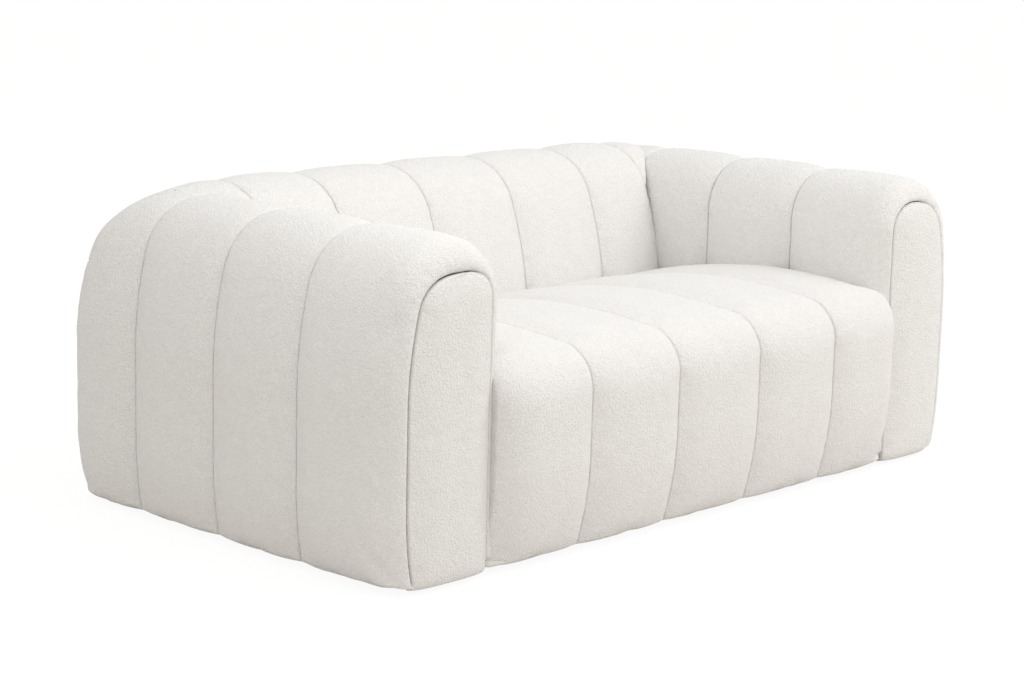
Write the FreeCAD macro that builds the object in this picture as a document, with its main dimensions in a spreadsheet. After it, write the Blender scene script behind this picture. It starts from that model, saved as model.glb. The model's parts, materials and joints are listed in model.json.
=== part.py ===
import FreeCAD, Part
import math
import os

import Sketcher
from FreeCAD import Placement, Rotation, Vector

# A two seat tuxedo sofa: arms and back are one height, and every face is padded in sewn channels.
# X runs to the right as one faces the sofa, Y runs from the front to the back, Z is up.
# The origin lies on the floor, under the middle of the sofa's outer box. All sizes are in millimetres.

doc = FreeCAD.newDocument("ChannelSofa")
sheet = doc.addObject("Spreadsheet::Sheet", "Sizes")

SIZES = [
    # Outer form
    ("overall_width", 1852, "Width over the fullest point of both arms"),
    ("overall_depth", 1087, "Depth from the seat nose to the back"),
    ("foot_height", 20, "Height of the feet under the cover"),
    ("arm_height", 645, "Arm seam line above the lower edge of the cover"),
    ("back_height", 657, "Back seam line above the lower edge of the cover"),
    ("arm_width", 288, "Arm from outer to inner seam line"),
    ("arm_setback", 38, "Arm front seam behind the seat nose"),
    ("seat_crown_height", 420, "Highest point of the seat seam line"),
    # Channels
    ("channel_crown", 12, "Fullness of a channel over its seams"),
    ("crown_shoulder", 25, "Distance over which a channel rises to its fullness"),
    ("pad_thickness", 40, "Padding of a channel at its seams"),
    ("channel_gap", 0.3, "Clearance between two neighbouring soft pieces"),
    ("arm_channel_width", 251, "One arm channel from seam to seam"),
    ("seat_channel_width", 268.5, "One middle seat or back channel from seam to seam"),
    ("front_roll_depth", 55, "Depth over which the arm cover rolls round to the front"),
    # Outline of arms and back
    ("tuck_height", 150, "Height over which the outer faces draw in to the floor"),
    ("tuck_inset", 14, "How far the outer faces draw in at the floor"),
    ("straight_top", 330, "Height at which the outer faces begin to lean in"),
    ("shoulder_lean", 15, "Lean in degrees at which the shoulder begins"),
    ("inner_shoulder_radius", 119, "Radius of the arm's inner shoulder"),
    ("inner_end", 330, "Height at which the inner covers end, below the seat surface"),
    ("corner_radius", 100, "Radius of the rear corners seen from above"),
    ("cut_margin", 40, "How far the mitre cuts reach past the sofa"),
    # Back
    ("back_face_radius", 811, "Radius of the back's inner face"),
    ("back_front_shoulder_radius", 147, "Radius of the back's front shoulder"),
    ("back_top_inset", 6, "Top line of the back further in than the arm's"),
    ("back_top_flat", 8, "Level stretch on top of the back"),
    ("back_low_lean", 5, "Lean in degrees of the back's face at its lower end"),
    ("back_high_lean", 22, "Lean in degrees of the back's face below its shoulder"),
    # Seat
    ("nose_tuck_height", 200, "Height over which the seat front draws in to the floor"),
    ("nose_tuck_inset", 30, "How far the seat front draws in at the floor"),
    ("nose_radius", 92, "Radius of the seat's front edge"),
    ("seat_top_radius", 1520, "Radius of the gentle crown of the seat"),
    ("seat_crown_setback", 288, "Highest point of the seat behind its nose"),
    # Foam
    ("core_inset", 76, "From the outer seam line in to the foam behind the padding"),
    ("wrap_foam", 30, "Foam wrapped over the arm and back formers"),
    # Wooden frame
    ("ply", 18, "Thickness of the plywood"),
    ("outer_board_thickness", 5, "Thickness of the hardboard on the outside of the arms"),
    ("top_rail_setback", 40, "Back top rail in front of the rear edge of its formers"),
    ("web_clearance", 30, "Free height under the seat webbing"),
    ("bolt_height", 120, "Height of the bolts above the floor"),
    ("bolt_setback", 120, "First bolt behind the front of an arm's frame"),
    ("bolt_spacing", 420, "Distance between an arm's two bolts"),
    ("wood_gap", 0.3, "Clearance between wooden pieces"),
    ("frame_bottom", 3.3, "Frame above the lower edge of the cover"),
    ("platform_height", 230, "Top of the seat box above the lower edge of the cover"),
    ("top_rail_width", 60, "Width of the back's top rail"),
    ("top_rail_thickness", 20, "Thickness of the back's top rail"),
    ("block_side", 110, "Legs of the triangular corner blocks"),
    ("block_height", 60, "Height of the corner blocks"),
    ("back_former_inset", 8, "Outer back formers inward from the arms' inner covers"),
    # Webbing and covers
    ("web_width", 60, "Width of the elastic webbing"),
    ("web_thickness", 2, "Thickness of the elastic webbing"),
    ("dust_thickness", 2, "Thickness of the dust cover"),
    ("front_panel_thickness", 48, "Thickness of the padded arm fronts"),
    ("front_panel_round", 12, "Rounding of the padded arm fronts"),
    # Feet and fasteners
    ("foot_half", 26, "Half the width of a foot at its top"),
    ("foot_taper", 4, "How much narrower a foot is at the floor"),
    ("foot_side_setback", 58, "Middle of a foot inward from the side rail's inner face"),
    ("front_foot_setback", 20, "Middle of a front foot behind the front rail's rear face"),
    ("rear_foot_setback", 45, "Middle of a rear foot in front of the base board's rear edge"),
    ("screw_radius", 2.5, "Radius of a foot screw"),
    ("screw_depth", 14, "How far a foot screw enters the frame"),
    ("screw_head_radius", 5, "Radius of a foot screw's head"),
    ("screw_head_height", 3, "Height of a foot screw's head"),
    ("bolt_radius", 4, "Radius of a frame bolt"),
    ("bolt_head_radius", 7.5, "Radius over the corners of a bolt head or nut"),
    ("bolt_head_height", 5.5, "Height of a bolt head"),
    ("nut_height", 8, "Height of a nut"),
    ("bolt_end", 2, "How far a bolt stands out of its nut"),
]

for row, (alias, value, meaning) in enumerate(SIZES, start=1):
    sheet.set(f"A{row}", meaning)
    sheet.set(f"B{row}", str(value))
    sheet.setAlias(f"B{row}", alias)
doc.recompute()


def size(alias):
    """A driving dimension, as a plain number."""
    return float(getattr(sheet, alias))


gap = size("channel_gap")
joint = size("wood_gap")
crown = size("channel_crown")
pad = size("pad_thickness")
ply = size("ply")
cover_bottom = size("foot_height")
side_seam = size("overall_width") / 2 - crown
rear_seam = size("overall_depth") / 2 - crown
nose_seam = -size("overall_depth") / 2 + crown
arm_front = nose_seam + size("arm_setback")
inner_seam = side_seam - size("arm_width")
inner_clear = inner_seam - crown - gap
frame_floor = cover_bottom + size("frame_bottom")
platform = cover_bottom + size("platform_height")
LEFT = -1
RIGHT = 1
SIDES = (("left", LEFT), ("right", RIGHT))
ROLL_FACETS = (0, 45, 90)
HOLE_SIDES = 8
sub_parts = []


# Outlines as chains of lines and arcs


def tangent_pair(run, rise, lean):
    """Radii of two arcs that carry an upright line, through a lean, to level over this run and rise."""
    turn = math.radians(lean)
    a = 1 - math.cos(turn)
    b = math.cos(turn)
    c = math.sin(turn)
    d = 1 - math.sin(turn)
    det = a * d - b * c
    return (run * d - b * rise) / det, (a * rise - c * run) / det


def tuck_arc(height, inset):
    """Radius and turn of the arc that draws a face in at the floor and ends upright."""
    radius = (height * height + inset * inset) / (2 * inset)
    return radius, math.degrees(math.asin(height / radius))


class Outline:
    """Where a padded shell runs, seen along its channels: from its outer foot, up and over.

    v is the distance inward from the outer seam line and w the height above the cover's lower edge.
    Every arc turns towards the inside, so that the same chain can be set in by any distance.
    """

    def __init__(self, start, heading, moves, outer, inward):
        self.start = start
        self.heading = heading
        self.moves = moves
        self.outer = outer
        self.inward = inward

    def place(self, v, w):
        return self.outer + self.inward * v, w + cover_bottom

    def chain(self, inset):
        """Lists of the two or three points of each line or arc, set in by a distance."""
        v, w = self.start
        angle = math.radians(self.heading)
        v += inset * math.sin(angle)
        w -= inset * math.cos(angle)
        pieces = []
        for kind, amount, turn in self.moves:
            points = [(v, w)]
            if kind == "line":
                v += amount * math.cos(angle)
                w += amount * math.sin(angle)
            else:
                radius = amount - inset
                hub = (v + radius * math.sin(angle), w - radius * math.cos(angle))
                half = angle - math.radians(turn) / 2
                angle -= math.radians(turn)
                points.append((hub[0] - radius * math.sin(half), hub[1] + radius * math.cos(half)))
                v = hub[0] - radius * math.sin(angle)
                w = hub[1] + radius * math.cos(angle)
            points.append((v, w))
            pieces.append([self.place(*p) for p in points])
        return pieces


def shell_moves():
    """The outer foot and side that the arms and the back share."""
    radius, turn = tuck_arc(size("tuck_height"), size("tuck_inset"))
    side = size("straight_top") - size("tuck_height")
    return [("arc", radius, turn), ("line", side, 0)], 90 + turn


def arm_outline(side, inner_foot):
    """The arm's arch; its inner leg ends at a height above the cover's lower edge."""
    moves, heading = shell_moves()
    lean = size("shoulder_lean")
    inner_radius = size("inner_shoulder_radius")
    run = size("arm_width") - inner_radius
    rise = size("arm_height") - size("straight_top")
    sweep, shoulder = tangent_pair(run, rise, lean)
    leg = size("arm_height") - inner_radius - inner_foot
    moves += [("arc", sweep, lean), ("arc", shoulder, 90 - lean), ("arc", inner_radius, 90), ("line", leg, 0)]
    return Outline((size("tuck_inset"), 0), heading, moves, side * side_seam, -side)


def back_outline():
    """From the foot of the rear face, over the top and down the leaning inner face."""
    moves, heading = shell_moves()
    lean = size("shoulder_lean")
    high = math.radians(size("back_high_lean"))
    low = math.radians(size("back_low_lean"))
    front_shoulder = size("back_front_shoulder_radius")
    face = size("back_face_radius")
    rise = size("back_height") - size("straight_top")
    sweep, shoulder = tangent_pair(back_run(), rise, lean)
    moves += [("arc", sweep, lean), ("arc", shoulder, 90 - lean), ("line", size("back_top_flat"), 0)]
    moves += [("arc", front_shoulder, math.degrees(math.pi / 2 - high))]
    moves += [("arc", face, math.degrees(high - low))]
    drop = front_shoulder * (1 - math.sin(high)) + face * (math.sin(high) - math.sin(low))
    leg = (size("back_height") - drop - size("inner_end")) / math.cos(low)
    moves += [("line", leg, 0)]
    return Outline((size("tuck_inset"), 0), heading, moves, rear_seam, -1)


def back_run():
    """From the rear seam line to the top of the back, as the arm's outer side to its top."""
    return size("arm_width") - size("inner_shoulder_radius") + size("back_top_inset")


def seat_outline(end):
    """From the foot of the seat front, round the nose and back over the crown to the depth end."""
    radius, turn = tuck_arc(size("nose_tuck_height"), size("nose_tuck_inset"))
    top = size("seat_top_radius")
    nose = size("nose_radius")
    setback = size("seat_crown_setback")
    start_slope = math.asin((setback - nose) / (top - nose))
    end_slope = math.asin((end - nose_seam - setback) / top)
    crown_hub = size("seat_crown_height") - top
    nose_hub = crown_hub + (top - nose) * math.cos(start_slope)
    face = nose_hub - size("nose_tuck_height")
    moves = [("arc", radius, turn), ("line", face, 0)]
    moves += [("arc", nose, 90 - math.degrees(start_slope))]
    moves += [("arc", top, math.degrees(start_slope + end_slope))]
    return Outline((size("nose_tuck_inset"), 0), 90 + turn, moves, nose_seam, 1)


# Sketches and features


def origin_plane(body, role):
    for feature in body.Origin.OriginFeatures:
        if feature.Role == role:
            return feature
    raise RuntimeError("no origin plane " + role)


def new_sketch(body, name, role, offset=None):
    sketch = body.newObject("Sketcher::SketchObject", name)
    sketch.AttachmentSupport = [(origin_plane(body, role), "")]
    sketch.MapMode = "FlatFace"
    if offset is not None:
        sketch.AttachmentOffset = offset
    return sketch


def geometry(points):
    """A line through two points or an arc through three, given in a sketch's plane."""
    ends = [Vector(x, y, 0) for x, y in points]
    if len(ends) == 2:
        return Part.LineSegment(*ends)
    return Part.Arc(*ends)


def draw_chain(sketch, pieces):
    """Draw lines and arcs that follow one another; their shape comes from the sheet, so they are held."""
    for points in pieces:
        index = sketch.addGeometry(geometry(points), False)
        sketch.addConstraint(Sketcher.Constraint("Block", index))


def corners(*points):
    """The closed chain of straight lines through some points."""
    return [[a, b] for a, b in zip(points, points[1:] + points[:1])]


def finish_body(body, label):
    body.Label = label
    sub_parts.append(body)
    return body


def new_body(label):
    return doc.addObject("PartDesign::Body", "Body_" + label)


def pad_sketch(body, sketch, length, reverse=False, both=False):
    feature = body.newObject("PartDesign::Pad", "Pad")
    feature.Profile = sketch
    feature.setExpression("Length", length)
    feature.Reversed = reverse
    feature.Midplane = both
    doc.recompute()
    return feature


def cut_through(body, sketch):
    """Pocket a sketch right through the body, both ways, and make sure that it takes something away."""
    before = body.Shape.Volume
    feature = body.newObject("PartDesign::Pocket", "Pocket")
    feature.Profile = sketch
    feature.Type = 1
    feature.Midplane = True
    doc.recompute()
    if body.Shape.Volume > before - 1:
        raise RuntimeError("a pocket in " + body.Name + " cuts nothing")
    return feature


def cross_section(first, last, role, inward, roll):
    """The section of a channel's cover: raised from each seam to its full middle.

    first and last are the seams along the sketch's run; inward is the sign of the padding's side.
    A roll bends the section's first end down to the padding's underside, as at an arm's front.
    """
    rise = min(size("crown_shoulder"), (last - first) / 3)
    if roll:
        turns = [math.radians(angle) for angle in ROLL_FACETS]
        outer = [(first + roll * (1 - math.cos(t)), pad - (pad + crown) * math.sin(t)) for t in turns]
    else:
        outer = [(first, pad), (first, 0), (first + rise, -crown)]
    outer += [(last - rise, -crown), (last, 0), (last, pad)]
    if role == "YZ_Plane":
        return corners(*[(run, inward * depth) for run, depth in outer])
    return corners(*[(inward * depth, run) for run, depth in outer])


def along(role, position):
    """Attachment offset that moves a sketch on an upright origin plane along the plane's normal axis."""
    depth = -position if role == "XZ_Plane" else position
    return Placement(Vector(0, 0, depth), Rotation())


def padded_channel(label, outline, core, first, last, role, length, roll=0.0):
    """One channel: a pad over the foam core, and on it the crowned cover carried along the outline.

    first and last are its two seams across the sofa or along the arm, and length is the pad's extent
    from the sheet. core is the inner edge of the padding, from the outline's end back to its start.
    """
    body = new_body(label)
    begin = last if role == "XZ_Plane" else first
    inner = outline.chain(pad / 2)
    edge = [inner[-1][-1]] + core + [inner[0][0]]
    block = new_sketch(body, "PadOutline", role, along(role, begin))
    draw_chain(block, inner + [[a, b] for a, b in zip(edge, edge[1:])])
    pad_sketch(body, block, length)
    pieces = outline.chain(0)
    path = new_sketch(body, "Path", role)
    draw_chain(path, pieces)
    start = pieces[0][0]
    tilt = outline.heading - 90
    if role == "XZ_Plane":
        place = Placement(Vector(0, 0, 0), Rotation(Vector(0, 1, 0), -outline.inward * tilt))
        place.Base = Vector(start[0], 0, start[1])
    else:
        place = Placement(Vector(0, 0, 0), Rotation(Vector(1, 0, 0), outline.inward * tilt))
        place.Base = Vector(0, start[0], start[1])
    section = new_sketch(body, "Section", "XY_Plane", place)
    draw_chain(section, cross_section(first, last, role, outline.inward, roll))
    pipe = body.newObject("PartDesign::AdditivePipe", "Cover")
    pipe.Profile = section
    pipe.Spine = (path, [f"Edge{i + 1}" for i in range(len(pieces))])
    doc.recompute()
    return body


def corner_region(side, keep):
    """Plan outline of all that lies across the mitre at a rear corner.

    The mitre runs from the inner corner, over the crossing of the two top lines, to the rounded
    outer corner. keep names the shell that stays: its region is left, the other's is drawn.
    """
    radius = size("corner_radius")
    reach = crown + size("cut_margin")
    apex = (side_seam - back_run_arm(), rear_seam - back_run())
    inner = (apex[0] - 2 * size("inner_shoulder_radius"), apex[1] - 2 * size("inner_shoulder_radius"))
    outer = radius + crown
    hub = (side_seam + crown - outer, rear_seam + crown - outer)
    middle = (hub[0] + outer * math.sqrt(0.5), hub[1] + outer * math.sqrt(0.5))
    far_x = side_seam + reach
    far_y = rear_seam + reach
    shift = gap / 2 * math.sqrt(0.5)
    if keep == "arm":
        eighth = math.radians(22.5)
        bend = (hub[0] + outer * math.cos(eighth), hub[1] + outer * math.sin(eighth))
        rim = (hub[0] + outer, hub[1])
        chain = [[middle, bend, rim]]
        chain += [[rim, (far_x, hub[1])], [(far_x, hub[1]), (far_x, far_y)], [(far_x, far_y), (inner[0], far_y)]]
        chain += [[(inner[0], far_y), inner], [inner, apex], [apex, middle]]
        dx, dy = shift, -shift
    else:
        eighth = math.radians(67.5)
        bend = (hub[0] + outer * math.cos(eighth), hub[1] + outer * math.sin(eighth))
        rim = (hub[0], hub[1] + outer)
        chain = [[middle, bend, rim]]
        chain += [[rim, (hub[0], far_y)], [(hub[0], far_y), (far_x, far_y)], [(far_x, far_y), (far_x, inner[1])]]
        chain += [[(far_x, inner[1]), inner], [inner, apex], [apex, middle]]
        dx, dy = -shift, shift
    return [[(side * (x + dx), y + dy) for x, y in points] for points in chain]


def back_run_arm():
    """From the arm's outer seam line to its top line."""
    return size("arm_width") - size("inner_shoulder_radius")


# The cores that the padding covers


core_outer = size("core_inset")
core_inner = size("arm_width") - pad - gap
arm_core_top = size("arm_height") - size("inner_shoulder_radius")
front_panel_back = arm_front - size("front_panel_round") + size("front_panel_thickness")


def arm_core(outline):
    """Inner edge of an arm's padding, from its inner leg round to its outer foot."""
    low = pad / 2 * math.sin(math.radians(outline.heading - 90))
    points = [(core_inner, size("inner_end")), (core_inner, arm_core_top)]
    points += [(core_outer, arm_core_top), (core_outer, low)]
    return [outline.place(*p) for p in points]


def back_core(outline):
    """Inner edge of the back's padding: leaning front, level top and upright rear."""
    deep = outline.chain(pad + gap)
    top = deep[-2][0]
    low = pad / 2 * math.sin(math.radians(outline.heading - 90))
    rear = outline.place(core_outer, low)
    return [deep[-1][-1], top, (rear[0], top[1]), rear]


def seat_core(outline):
    """Inner edge of the seat's padding: from the rear end to the front edge and down."""
    front = front_panel_back - nose_seam
    hub = outline.chain(0)[2][0][1] - cover_bottom
    top = hub + (size("nose_radius") - pad) * math.sqrt(0.5)
    low = pad / 2 * math.sin(math.radians(outline.heading - 90))
    deep = outline.chain(pad + gap)
    return [deep[-1][-1], outline.place(front, top), outline.place(front, low)]


# Padded channels of the arms


def arm_channels(name, side):
    step = size("arm_channel_width")
    seams = [rear_seam - i * step for i in range(4)]
    plain = "Sizes.arm_channel_width - Sizes.channel_gap"
    for number in range(1, 5):
        label = f"{name}_arm_channel_{number}"
        outline = arm_outline(side, size("inner_end"))
        last = seams[number - 1] - gap / 2
        first = seams[number] + gap / 2 if number < 4 else arm_front
        length = plain
        roll = 0.0
        if number == 1:
            last = rear_seam + crown
            length = "Sizes.arm_channel_width + Sizes.channel_crown - Sizes.channel_gap / 2"
        if number == 4:
            roll = size("front_roll_depth")
            length = f"{last - front_panel_back - gap}"
        core = arm_core(outline)
        body = padded_channel(label, outline, core, first, last, "XZ_Plane", length, roll)
        if number <= 2:
            plan = new_sketch(body, "Mitre", "XY_Plane")
            draw_chain(plan, corner_region(side, "arm"))
            cut_through(body, plan)
        finish_body(body, label)


def arm_front_panel(name, side):
    """The padded arch that closes the front of an arm."""
    label = name + "_arm_front_panel"
    body = new_body(label)
    face = new_sketch(body, "Arch", "XZ_Plane", along("XZ_Plane", front_panel_back))
    pieces = arm_outline(side, 0).chain(pad + gap)
    draw_chain(face, pieces + [[pieces[-1][-1], pieces[0][0]]])
    block = pad_sketch(body, face, "Sizes.front_panel_thickness")
    front = min(v.Point.y for v in block.Shape.Vertexes) + 1
    edges = enumerate(block.Shape.Edges, start=1)
    rim = [f"Edge{i}" for i, edge in edges if max(v.Point.y for v in edge.Vertexes) < front]
    round_over = body.newObject("PartDesign::Chamfer", "RoundOver")
    round_over.Base = (block, rim)
    round_over.setExpression("Size", "Sizes.front_panel_round")
    doc.recompute()
    finish_body(body, label)


for name, side in SIDES:
    arm_channels(name, side)
    arm_front_panel(name, side)


# Padded channels of the back and the seat


def face_depth_at(height):
    """Depth of the back's padded face at a height above the cover's lower edge, by its lower line."""
    last_line = back_outline().chain(-crown)[-1]
    (near_y, near_z), (far_y, far_z) = last_line
    share = (height + cover_bottom - far_z) / (near_z - far_z)
    return far_y + share * (near_y - far_y)


def seat_front_ear(body, outline, side):
    """The end channels widen below the arms' inner covers, up to the padded arm fronts."""
    top = size("inner_end") - gap
    front = outline.chain(0)[:2]
    front[1][1] = (front[1][1][0], min(front[1][1][1], top + cover_bottom))
    deep = front_panel_back - nose_seam
    edge = [front[1][1], outline.place(deep, front[1][1][1] - cover_bottom), outline.place(deep, 0), front[0][0]]
    begin = side * (inner_clear - crown)
    ear = new_sketch(body, "EarOutline", "YZ_Plane", along("YZ_Plane", begin))
    draw_chain(ear, front + [[a, b] for a, b in zip(edge, edge[1:])])
    pad_sketch(body, ear, "Sizes.pad_thickness + 2 * Sizes.channel_crown", reverse=side == LEFT)


seat_end = face_depth_at(size("inner_end")) - gap
middle = size("seat_channel_width")
seams = [-inner_clear, -1.5 * middle, -0.5 * middle, 0.5 * middle, 1.5 * middle, inner_clear]

for number, (first, last) in enumerate(zip(seams, seams[1:]), start=1):
    ends = (first + gap / 2, last - gap / 2)
    length = f"{ends[1] - ends[0]}"
    if 1 < number < 5:
        length = "Sizes.seat_channel_width - Sizes.channel_gap"
    for kind, outline, core in (("back", back_outline(), back_core), ("seat", seat_outline(seat_end), seat_core)):
        label = f"{kind}_channel_{number}"
        body = padded_channel(label, outline, core(outline), *ends, "YZ_Plane", length)
        if kind == "seat" and number in (1, 5):
            seat_front_ear(body, outline, LEFT if number == 1 else RIGHT)
        finish_body(body, label)

for name, side in SIDES:
    label = f"back_corner_channel_{name}"
    ends = sorted((side * (inner_clear + gap / 2), side * (side_seam + crown)))
    outline = back_outline()
    core = back_core(outline)
    body = padded_channel(label, outline, core, *ends, "YZ_Plane", f"{ends[1] - ends[0]}")
    plan = new_sketch(body, "Mitre", "XY_Plane")
    draw_chain(plan, corner_region(side, "back"))
    cut_through(body, plan)
    finish_body(body, label)


# Wooden frame, foam, webbing, covers and fasteners


def box(label, low, high, lengths=()):
    """A board, strap or sheet between two corners; lengths binds its named sizes to the sheet."""
    item = doc.addObject("Part::Box", "Box_" + label)
    item.Label = label
    item.Length, item.Width, item.Height = [b - a for a, b in zip(low, high)]
    for prop, expression in lengths:
        item.setExpression(prop, expression)
    item.Placement = Placement(Vector(*low), Rotation())
    return item


def side_box(label, side, near, far, y_range, z_range, lengths=()):
    """A box whose X range is given as distances from the sofa's middle, on one side of it."""
    low_x, high_x = sorted((side * near, side * far))
    return box(label, (low_x, y_range[0], z_range[0]), (high_x, y_range[1], z_range[1]), lengths)


def outline_body(label, points, role, begin, length, reverse=False):
    """A piece of one straight sided outline and one thickness."""
    body = new_body(label)
    sketch = new_sketch(body, "Outline", role, along(role, begin))
    draw_chain(sketch, corners(*points))
    pad_sketch(body, sketch, length, reverse)
    return body


def group(label, items):
    """Like pieces that share one node."""
    compound = doc.addObject("Part::Compound", "Group_" + label)
    compound.Label = label
    compound.Links = items
    doc.recompute()
    sub_parts.append(compound)
    return compound


PLY_X = (("Length", "Sizes.ply"),)
PLY_Y = (("Width", "Sizes.ply"),)
PLY_Z = (("Height", "Sizes.ply"),)
wrap = size("wrap_foam")
foam_outer = side_seam - core_outer - gap
foam_inner = side_seam - core_inner + gap
frame_outer = foam_outer - wrap - gap
frame_inner = foam_inner + wrap + gap
arm_rear = rear_seam - core_outer - gap
arm_span = (front_panel_back + gap, arm_rear)
deep_back = back_outline().chain(pad + gap)
face_low = deep_back[-1][-1]
face_high = deep_back[-2][0]
foam_top = min(cover_bottom + arm_core_top, face_high[1]) - gap
frame_top = foam_top - wrap - gap
web = size("web_thickness")
hole = size("bolt_radius") + joint
bolt_places = [
    (arm_span[0] + size("bolt_setback") + i * size("bolt_spacing"), size("bolt_height")) for i in range(2)
]
screw_hole = size("screw_radius") + joint


def draw_holes(sketch, places, radius):
    """Holes with HOLE_SIDES sides, drawn around circles of a radius: the fasteners are as coarse."""
    rim = radius / math.cos(math.pi / HOLE_SIDES)
    turns = [2 * math.pi * i / HOLE_SIDES for i in range(HOLE_SIDES)]
    for x, y in places:
        draw_chain(sketch, corners(*[(x + rim * math.cos(t), y + rim * math.sin(t)) for t in turns]))


def drill(body, name, role, position, places, radius):
    """Holes right through a body, centred on places in a plane at a position along its normal."""
    sketch = new_sketch(body, name, role, along(role, position))
    draw_holes(sketch, places, radius)
    return cut_through(body, sketch)


def drilled_board(label, side, near, height, y_range):
    """An upright plywood board along the arm, with the bolt holes through it."""
    body = new_body(label)
    face = new_sketch(body, "Board", "YZ_Plane", along("YZ_Plane", side * near))
    (y0, y1), (z0, z1) = y_range, (frame_floor, height)
    draw_chain(face, corners((y0, z0), (y1, z0), (y1, z1), (y0, z1)))
    pad_sketch(body, face, "Sizes.ply", reverse=side == LEFT)
    drill(body, "BoltHoles", "YZ_Plane", side * (near + ply / 2), bolt_places, hole)
    return finish_body(body, label)


def arm_frame(name, side):
    """Foam and boards of one arm, from the back of its front panel to its rear."""
    z_range = (frame_floor, frame_top)
    foam_floor = frame_floor
    inner_end = cover_bottom + size("inner_end") + gap
    points = [(foam_outer, foam_floor), (foam_outer, foam_top), (foam_inner, foam_top), (foam_inner, inner_end)]
    points += [(foam_inner + wrap, inner_end), (foam_inner + wrap, foam_top - wrap)]
    points += [(foam_outer - wrap, foam_top - wrap), (foam_outer - wrap, foam_floor)]
    points = [(side * x, z) for x, z in points]
    length = f"{arm_span[1] - arm_span[0]}"
    finish_body(outline_body(f"{name}_arm_foam", points, "XZ_Plane", arm_span[1], length), f"{name}_arm_foam")
    thin = size("outer_board_thickness")
    bound = (("Length", "Sizes.outer_board_thickness"),)
    sub_parts.append(
        side_box(f"{name}_arm_outer_board", side, frame_outer - thin, frame_outer, arm_span, z_range, bound)
    )
    drilled_board(f"{name}_arm_inner_board", side, frame_inner, frame_top, arm_span)
    near = frame_inner + ply + joint
    far = frame_outer - thin - joint
    top = (frame_top - ply, frame_top)
    sub_parts.append(side_box(f"{name}_arm_top_board", side, near, far, arm_span, top, PLY_Z))
    cross_top = (frame_floor, frame_top - ply - joint)
    reach = arm_span[1] - arm_span[0] - ply
    for place, share in (("front", 0), ("middle", 0.5), ("rear", 1)):
        y0 = arm_span[0] + share * reach
        label = f"{name}_arm_{place}_board"
        sub_parts.append(side_box(label, side, near, far, (y0, y0 + ply), cross_top, PLY_Y))


# The seat box: two rails across, one at each side, a divider and four corner blocks


rail_front = front_panel_back + gap
web_room = web + 2 * gap
inner_height = cover_bottom + size("inner_end") + gap
lean_share = (inner_height - face_low[1]) / (face_high[1] - face_low[1])
foam_low = face_low[0] + lean_share * (face_high[0] - face_low[0]) + 2 * gap
foam_high = face_high[0] + 2 * gap
former_low = foam_low + wrap + gap + web_room
former_high = foam_high + wrap + gap + web_room
rail_rear = former_low - joint
rail_outer = frame_inner - joint
back_half = inner_clear - gap

for label, y in (("front_rail", rail_front), ("rear_rail", rail_rear - ply)):
    sub_parts.append(box(label, (-rail_outer, y, frame_floor), (rail_outer, y + ply, platform), PLY_Y))
inside = (rail_front + ply + joint, rail_rear - ply - joint)
former_rear = rear_seam - core_outer - gap - wrap - gap
foot_x = rail_outer - ply - joint - size("foot_side_setback")
foot_depths = (inside[0] + size("front_foot_setback"), former_rear - size("rear_foot_setback"))
feet_places = [(side * foot_x, y) for side in (LEFT, RIGHT) for y in foot_depths]
for name, side in SIDES:
    arm_frame(name, side)
    drilled_board(f"{name}_side_rail", side, rail_outer - ply, platform, inside)
divider_top = platform - size("web_clearance")
sub_parts.append(box("seat_divider", (-ply / 2, inside[0], frame_floor), (ply / 2, inside[1], divider_top), PLY_X))

blocks = []
for side in (LEFT, RIGHT):
    for y, inward in ((inside[0], 1), (inside[1], -1)):
        x = side * (rail_outer - ply - joint)
        leg = size("block_side")
        points = [(x, y), (x - side * leg, y), (x, y + inward * leg)]
        piece = outline_body(f"block_{len(blocks)}", points, "XY_Plane", frame_floor, "Sizes.block_height")
        if inward > 0:
            drill(piece, "ScrewHole", "XY_Plane", frame_floor, [(side * foot_x, foot_depths[0])], screw_hole)
        blocks.append(piece)
group("corner_blocks", blocks)


# The back frame: formers on a base board, with a rail let into their tops


former_top = face_high[1] - gap - wrap - gap
former_foot = frame_floor + ply + joint
base = new_body("back_base_board")
base_outline = new_sketch(base, "Board", "XY_Plane", along("XY_Plane", frame_floor))
low, high = (-rail_outer, former_low), (rail_outer, former_rear)
draw_chain(base_outline, corners(low, (high[0], low[1]), high, (low[0], high[1])))
pad_sketch(base, base_outline, "Sizes.ply")
rear_feet = [(side * foot_x, foot_depths[1]) for side in (LEFT, RIGHT)]
drill(base, "ScrewHoles", "XY_Plane", frame_floor, rear_feet, screw_hole)
finish_body(base, "back_base_board")
rail_depth = size("top_rail_width")
rail_height = size("top_rail_thickness")
notch = (former_rear - size("top_rail_setback") - rail_depth, former_top - rail_height)
former_reach = back_half - size("back_former_inset") - ply / 2
for number in range(4):
    label = f"back_former_{number + 1}"
    x = (number - 1.5) * former_reach / 1.5 - ply / 2
    points = [(former_low, former_foot), (former_low, inner_height), (former_high, former_top)]
    points += [(notch[0] - joint, former_top), (notch[0] - joint, notch[1] - joint)]
    points += [(notch[0] + rail_depth + joint, notch[1] - joint), (notch[0] + rail_depth + joint, former_top)]
    points += [(former_rear, former_top), (former_rear, former_foot)]
    finish_body(outline_body(label, points, "YZ_Plane", x, "Sizes.ply"), label)
bound = (("Width", "Sizes.top_rail_width"), ("Height", "Sizes.top_rail_thickness"))
low = (-back_half, notch[0], notch[1])
high = (back_half, notch[0] + rail_depth, former_top)
sub_parts.append(box("back_top_rail", low, high, bound))


# Foam of the seat and the back, and the webbing under it


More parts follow.
